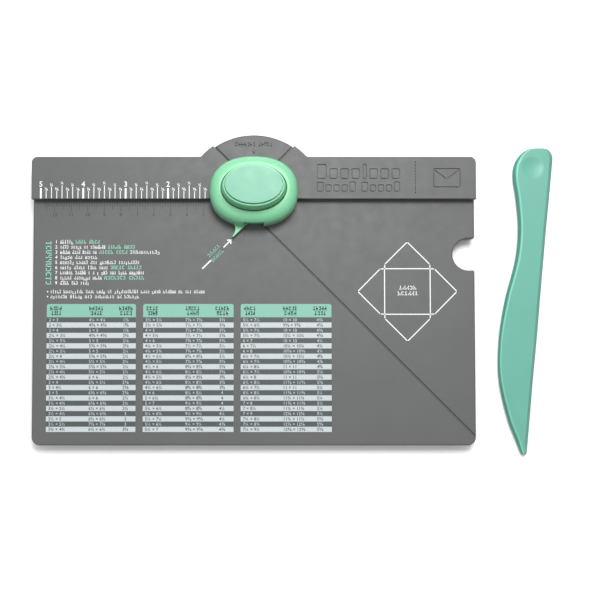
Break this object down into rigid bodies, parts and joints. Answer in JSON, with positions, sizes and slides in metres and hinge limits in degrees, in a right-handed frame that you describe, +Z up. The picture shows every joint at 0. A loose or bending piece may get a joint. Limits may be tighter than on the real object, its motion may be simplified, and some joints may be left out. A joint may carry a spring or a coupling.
{
  "type": "envelope punch and scoring board",
  "caption": "Flat scoring board with a raised ruler fence, an oval press punch, a diagonal score groove and a loose curved scoring tool.",
  "frame": {"origin": "bottom centre of the whole set: under its feet, halfway across the board and tool together", "axes": "+X to the right along the fence, +Y to the back towards the punch, +Z up"},
  "size_m": [0.3172, 0.1938, 0.037],
  "materials": {
    "board_plastic": "satin moulded, warm grey",
    "punch_plastic": "semi-gloss mint green",
    "inlay_plastic": "satin mint green",
    "tool_plastic": "satin teal green",
    "steel": "brushed",
    "foot_rubber": "matt black"
  },
  "bodies": {
    "board": {"deck": "board_plastic", "bottom_cover": "board_plastic", "fence_left": "board_plastic", "fence_right": "board_plastic", "punch_bed": "board_plastic", "die_plate": "steel", "guide_plate": "steel", "spacer_left": "steel", "spacer_right": "steel", "punch_housing": "punch_plastic", "return_spring_left": "steel", "return_spring_right": "steel", "frame_screw_1": "steel", "frame_screw_2": "steel", "frame_screw_3": "steel", "frame_screw_4": "steel", "fence_screw_1": "steel", "fence_screw_2": "steel", "fence_screw_3": "steel", "fence_screw_4": "steel", "housing_screw_1": "steel", "housing_screw_2": "steel", "cover_screw_1": "steel", "cover_screw_2": "steel", "cover_screw_3": "steel", "cover_screw_4": "steel", "cover_screw_5": "steel", "cover_screw_6": "steel", "foot_1": "foot_rubber", "foot_2": "foot_rubber", "foot_3": "foot_rubber", "foot_4": "foot_rubber", "foot_5": "foot_rubber", "foot_6": "foot_rubber"},
    "punch_button": {"button_cap": "punch_plastic", "button_inlay": "inlay_plastic", "button_screw": "steel", "plunger": "board_plastic", "notch_blade": "steel", "corner_blade": "steel"},
    "scoring_tool": {"scoring_tool": "tool_plastic"}
  },
  "joints": [
    {"name": "button_press", "type": "slide", "parent": "board", "child": "punch_button", "axis": [0, 0, -1], "range_m": [0, 0.006], "stiffness_N_per_m": 1200, "springref_m": -0.006, "deforming": ["return_spring_left", "return_spring_right"]},
    {"name": "tool_lift", "type": "slide", "parent": "board", "child": "scoring_tool", "axis": [0, 0, 1], "range_m": [0, 0.06]}
  ]
}
